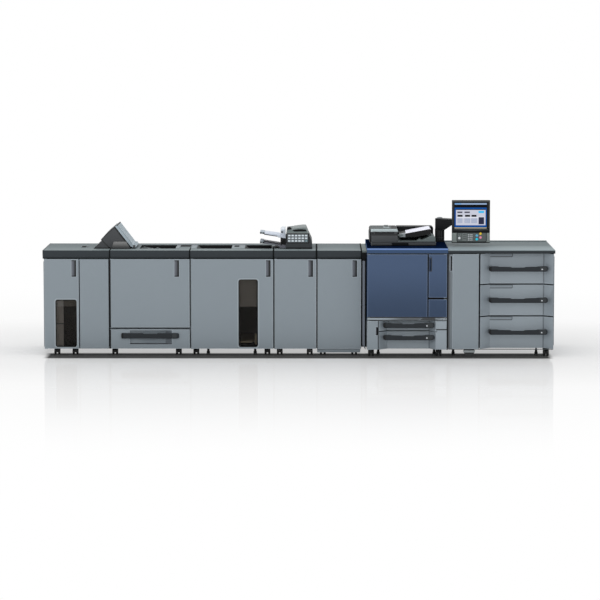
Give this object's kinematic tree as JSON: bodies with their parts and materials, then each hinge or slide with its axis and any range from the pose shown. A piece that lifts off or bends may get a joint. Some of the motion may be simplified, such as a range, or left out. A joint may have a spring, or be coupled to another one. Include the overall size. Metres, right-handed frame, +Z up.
{
  "type": "digital production printer",
  "caption": "Digital production printer line: binder, stacker, folder, relay unit, print engine and paper feeder with doors, drawers, scanner and operation panel, on casters.",
  "frame": {"origin": "centre of the outer box at the floor, under the feet", "axes": "+X along the line from the binder to the paper feeder, +Y from the operator's side to the back, +Z up"},
  "size_m": [4.818, 1.008, 1.45],
  "materials": {
    "panel_grey": "satin powder coat",
    "top_grey": "fine grained",
    "cover_dark": "fine grained",
    "deep_blue": "satin lacquer",
    "steel": "zinc plated sheet",
    "grip_dark": "fine grained",
    "soft_black": "matt",
    "light_grey": "smooth",
    "smoke": "smoked brown, clear gloss",
    "screen": "glossy display glass",
    "wheel": "matt tread",
    "platform": "satin powder coat",
    "drum": "glossy",
    "toner": "smooth",
    "fuser_red": "smooth sleeve",
    "fuser_brown": "smooth sleeve"
  },
  "bodies": {
    "line_frame": {"binder_cabinet": "panel_grey", "stacker_cabinet": "panel_grey", "folder_cabinet": "panel_grey", "relay_cabinet": "panel_grey", "docking_duct": "cover_dark", "engine_cabinet": "panel_grey", "engine_upper_shell": "deep_blue", "feeder_cabinet": "panel_grey", "feeder_worktop": "top_grey", "binder_top_cover": "top_grey", "stacker_top_cover": "top_grey", "transport_top_covers": "top_grey", "book_exit_hood": "cover_dark", "inserter_body": "top_grey", "inserter_trays": "light_grey", "scanner_base": "cover_dark", "panel_post": "soft_black", "casters": "steel", "imaging_units": "drum", "toner_bottles": "toner"},
    "window_door": {"binder_window_door": "panel_grey", "binder_window_pane": "smoke"},
    "binder_door": {"binder_main_door": "panel_grey"},
    "stacker_front_door": {"stacker_door": "panel_grey", "stacker_window_pane": "smoke"},
    "folder_front_door": {"folder_door": "panel_grey"},
    "relay_front_door": {"relay_door": "panel_grey"},
    "engine_front_door": {"engine_main_door": "deep_blue"},
    "toner_front_door": {"toner_door": "deep_blue"},
    "waste_toner_front_door": {"waste_toner_door": "deep_blue"},
    "side_door": {"engine_side_door": "panel_grey"},
    "feeder_front_door": {"feeder_door": "panel_grey"},
    "binder_cover_drawer": {"binder_drawer": "panel_grey", "binder_drawer_grip": "grip_dark"},
    "upper_paper_drawer": {"engine_upper_drawer": "panel_grey", "engine_upper_grip": "grip_dark"},
    "lower_paper_drawer": {"engine_lower_drawer": "panel_grey", "engine_lower_grip": "grip_dark"},
    "top_feeder_drawer": {"feeder_top_drawer": "panel_grey", "feeder_top_grip": "grip_dark"},
    "middle_feeder_drawer": {"feeder_middle_drawer": "panel_grey", "feeder_middle_grip": "grip_dark"},
    "bottom_feeder_drawer": {"feeder_bottom_drawer": "panel_grey", "feeder_bottom_grip": "grip_dark"},
    "hood_lid": {"book_exit_lid": "light_grey"},
    "lid": {"scanner_lid": "cover_dark"},
    "original_cover": {"adf_cover": "top_grey"},
    "original_tray": {"adf_tray": "cover_dark"},
    "arm": {"panel_arm": "soft_black"},
    "panel": {"panel_housing": "cover_dark", "panel_screen": "screen"},
    "panel_key_set": {"panel_keys": "light_grey"},
    "inserter_key_set": {"inserter_keys": "light_grey"},
    "platform": {"stack_platform": "platform"},
    "upper_fuser": {"fuser_upper_roller": "fuser_red"},
    "lower_fuser": {"fuser_lower_roller": "fuser_brown"},
    "finisher_wheels_front": {"finisher_front_wheels": "wheel"},
    "finisher_wheels_rear": {"finisher_rear_wheels": "wheel"},
    "printer_wheels_front": {"printer_front_wheels": "wheel"},
    "printer_wheels_rear": {"printer_rear_wheels": "wheel"}
  },
  "joints": [
    {"name": "window_door_hinge", "type": "hinge", "parent": "line_frame", "child": "window_door", "pos_m": [-2.381, -0.351, 0.49], "axis": [0, 0, -1], "range_deg": [0, 90]},
    {"name": "binder_door_hinge", "type": "hinge", "parent": "line_frame", "child": "binder_door", "pos_m": [-1.765, -0.351, 0.5895], "axis": [0, 0, -1], "range_deg": [0, 90]},
    {"name": "stacker_front_door_hinge", "type": "hinge", "parent": "line_frame", "child": "stacker_front_door", "pos_m": [-1.001, -0.351, 0.49], "axis": [0, 0, -1], "range_deg": [0, 90]},
    {"name": "folder_front_door_hinge", "type": "hinge", "parent": "line_frame", "child": "folder_front_door", "pos_m": [-0.213, -0.351, 0.49], "axis": [0, 0, -1], "range_deg": [0, 90]},
    {"name": "relay_front_door_hinge", "type": "hinge", "parent": "line_frame", "child": "relay_front_door", "pos_m": [0.193, -0.351, 0.49], "axis": [0, 0, -1], "range_deg": [0, 90]},
    {"name": "engine_front_door_hinge", "type": "hinge", "parent": "line_frame", "child": "engine_front_door", "pos_m": [0.665, -0.471, 0.675], "axis": [0, 0, -1], "range_deg": [0, 90]},
    {"name": "toner_front_door_hinge", "type": "hinge", "parent": "line_frame", "child": "toner_front_door", "pos_m": [1.38, -0.471, 0.7685], "axis": [0, 0, 1], "range_deg": [0, 90]},
    {"name": "waste_toner_front_door_hinge", "type": "hinge", "parent": "line_frame", "child": "waste_toner_front_door", "pos_m": [1.38, -0.471, 0.463], "axis": [0, 0, 1], "range_deg": [0, 90]},
    {"name": "side_door_hinge", "type": "hinge", "parent": "line_frame", "child": "side_door", "pos_m": [0.665, -0.471, 0.208], "axis": [0, 0, -1], "range_deg": [0, 90]},
    {"name": "feeder_front_door_hinge", "type": "hinge", "parent": "line_frame", "child": "feeder_front_door", "pos_m": [1.683, -0.471, 0.5271], "axis": [0, 0, 1], "range_deg": [0, 90]},
    {"name": "binder_cover_drawer_slide", "type": "slide", "parent": "line_frame", "child": "binder_cover_drawer", "axis": [0, -1, 0], "range_m": [0, 0.5]},
    {"name": "upper_paper_drawer_slide", "type": "slide", "parent": "line_frame", "child": "upper_paper_drawer", "axis": [0, -1, 0], "range_m": [0, 0.5]},
    {"name": "lower_paper_drawer_slide", "type": "slide", "parent": "line_frame", "child": "lower_paper_drawer", "axis": [0, -1, 0], "range_m": [0, 0.5]},
    {"name": "top_feeder_drawer_slide", "type": "slide", "parent": "line_frame", "child": "top_feeder_drawer", "axis": [0, -1, 0], "range_m": [0, 0.5]},
    {"name": "middle_feeder_drawer_slide", "type": "slide", "parent": "line_frame", "child": "middle_feeder_drawer", "axis": [0, -1, 0], "range_m": [0, 0.5]},
    {"name": "bottom_feeder_drawer_slide", "type": "slide", "parent": "line_frame", "child": "bottom_feeder_drawer", "axis": [0, -1, 0], "range_m": [0, 0.5]},
    {"name": "hood_lid_hinge", "type": "hinge", "parent": "line_frame", "child": "hood_lid", "pos_m": [-1.55685, 0.014, 1.0231], "axis": [0, 1, 0], "range_deg": [0, 100]},
    {"name": "lid_hinge", "type": "hinge", "parent": "line_frame", "child": "lid", "pos_m": [1, 0.345, 1.08], "axis": [-1, 0, 0], "range_deg": [0, 60]},
    {"name": "original_cover_hinge", "type": "hinge", "parent": "lid", "child": "original_cover", "pos_m": [0.686, 0, 1.152], "axis": [0, -1, 0], "range_deg": [0, 70]},
    {"name": "original_tray_hinge", "type": "hinge", "parent": "lid", "child": "original_tray", "pos_m": [0.977, 0, 1.13038], "axis": [0, -1, 0], "range_deg": [0, 30]},
    {"name": "arm_swivel", "type": "hinge", "parent": "line_frame", "child": "arm", "pos_m": [1.35616, 0.24008, 1.152], "axis": [0, 0, 1], "range_deg": [-15, 45]},
    {"name": "panel_tilt", "type": "hinge", "parent": "arm", "child": "panel", "pos_m": [1.6044, 0.008, 1.22896], "axis": [-1, 0, 0], "range_deg": [-10, 45]},
    {"name": "panel_key_travel", "type": "slide", "parent": "panel", "child": "panel_key_set", "axis": [0, 1, 0], "range_m": [0, 0.0015], "stiffness_N_per_m": 800, "springref_m": -0.001},
    {"name": "inserter_key_travel", "type": "slide", "parent": "line_frame", "child": "inserter_key_set", "axis": [0, 1, 0], "range_m": [0, 0.0015], "stiffness_N_per_m": 800, "springref_m": -0.001},
    {"name": "platform_lift", "type": "slide", "parent": "line_frame", "child": "platform", "axis": [0, 0, 1], "range_m": [0, 0.3]},
    {"name": "upper_fuser_turn", "type": "hinge", "parent": "line_frame", "child": "upper_fuser", "pos_m": [0.742, 0, 0.49615], "axis": [0, 1, 0], "continuous": true},
    {"name": "lower_fuser_turn", "type": "hinge", "parent": "line_frame", "child": "lower_fuser", "pos_m": [0.742, 0, 0.44385], "axis": [0, 1, 0], "continuous": true},
    {"name": "finisher_wheels_front_turn", "type": "hinge", "parent": "line_frame", "child": "finisher_wheels_front", "pos_m": [0, -0.276, 0.031], "axis": [1, 0, 0], "continuous": true},
    {"name": "finisher_wheels_rear_turn", "type": "hinge", "parent": "line_frame", "child": "finisher_wheels_rear", "pos_m": [0, 0.319, 0.031], "axis": [1, 0, 0], "continuous": true},
    {"name": "printer_wheels_front_turn", "type": "hinge", "parent": "line_frame", "child": "printer_wheels_front", "pos_m": [0, -0.368, 0.031], "axis": [1, 0, 0], "continuous": true},
    {"name": "printer_wheels_rear_turn", "type": "hinge", "parent": "line_frame", "child": "printer_wheels_rear", "pos_m": [0, 0.386, 0.031], "axis": [1, 0, 0], "continuous": true}
  ],
  "couplings": [
    {"joint": "lower_fuser_turn", "follows": "upper_fuser_turn", "ratio": -1}
  ]
}
